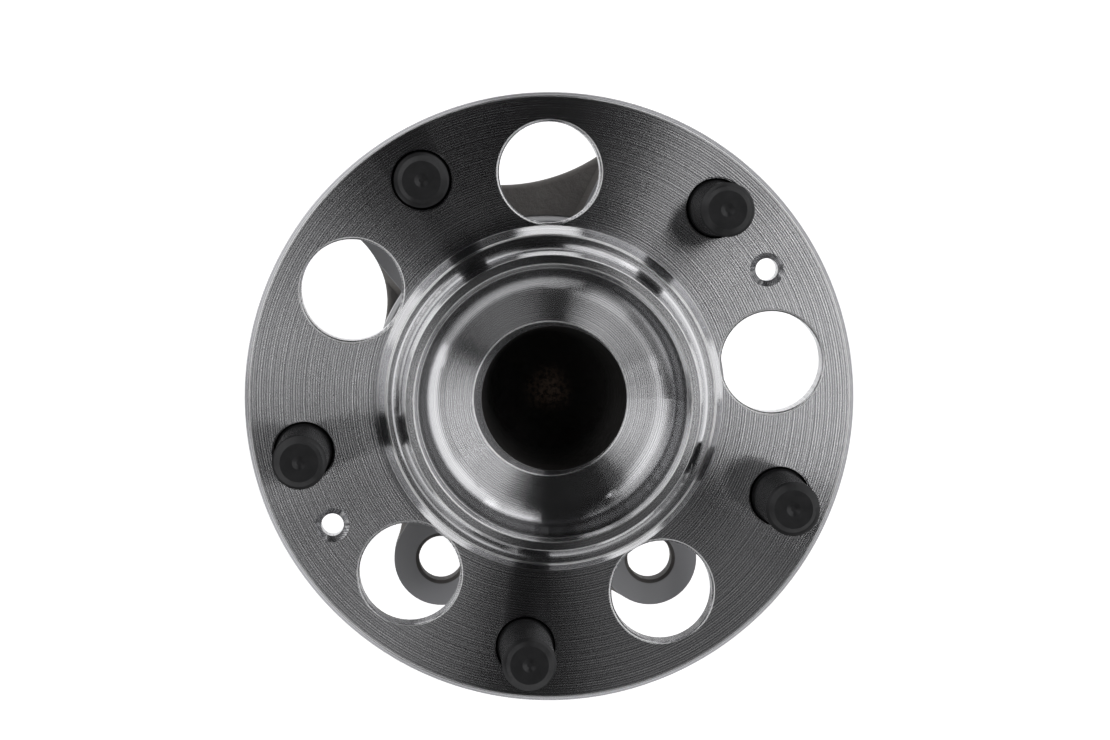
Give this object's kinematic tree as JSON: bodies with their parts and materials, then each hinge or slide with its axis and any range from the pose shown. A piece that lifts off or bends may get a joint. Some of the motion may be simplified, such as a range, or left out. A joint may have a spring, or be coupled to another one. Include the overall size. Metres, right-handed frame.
{
  "type": "wheel hub bearing",
  "caption": "Flanged blind wheel hub on a double row ball bearing, with pressed-in wheel studs, a stepped pilot nose and a fixed outer ring whose tapped ears screw to a knuckle.",
  "frame": {"origin": "centre of the stud circle, on the machined face that clamps the brake disc and wheel", "axes": "+Z along the wheel axis towards the wheel; +Y up as the unit is pictured from the wheel side, and +X to the right"},
  "size_m": [0.1384, 0.1382, 0.1055],
  "materials": {
    "hub_steel": "turned steel, oiled, with a dark forged recess",
    "outer_ring_steel": "turned steel with forged ears",
    "bearing_steel": "ground",
    "ball_steel": "polished",
    "cage_polymer": "moulded, natural",
    "seal_sheet_steel": "pressed sheet",
    "seal_rubber": "moulded black rubber",
    "encoder_rubber": "magnetised rubber",
    "cap_steel": "zinc-plated sheet",
    "stud_phosphate": "black phosphate"
  },
  "bodies": {
    "fixed_ring": {"outer_ring": "outer_ring_steel", "outboard_seal_case": "seal_sheet_steel", "outboard_seal_lip": "seal_rubber", "inboard_seal_case": "seal_sheet_steel", "inboard_seal_lip": "seal_rubber", "end_cap": "cap_steel", "end_cap_seal": "seal_rubber"},
    "hub": {"wheel_hub": "hub_steel", "inboard_inner_ring": "bearing_steel", "outboard_slinger": "seal_sheet_steel", "encoder_carrier": "seal_sheet_steel", "encoder_magnet": "encoder_rubber", "wheel_stud_1": "stud_phosphate", "wheel_stud_2": "stud_phosphate", "wheel_stud_3": "stud_phosphate", "wheel_stud_4": "stud_phosphate", "wheel_stud_5": "stud_phosphate"},
    "outboard_row": {"outboard_balls": "ball_steel", "outboard_cage": "cage_polymer"},
    "inboard_row": {"inboard_balls": "ball_steel", "inboard_cage": "cage_polymer"}
  },
  "joints": [
    {"name": "hub_spin", "type": "hinge", "parent": "fixed_ring", "child": "hub", "pos_m": [0, 0, 0], "axis": [0, 0, 1], "continuous": true},
    {"name": "outboard_row_spin", "type": "hinge", "parent": "fixed_ring", "child": "outboard_row", "pos_m": [0, 0, 0], "axis": [0, 0, 1], "continuous": true},
    {"name": "inboard_row_spin", "type": "hinge", "parent": "fixed_ring", "child": "inboard_row", "pos_m": [0, 0, 0], "axis": [0, 0, 1], "continuous": true}
  ],
  "couplings": [
    {"joint": "outboard_row_spin", "follows": "hub_spin", "ratio": 0.428},
    {"joint": "inboard_row_spin", "follows": "hub_spin", "ratio": 0.428}
  ]
}
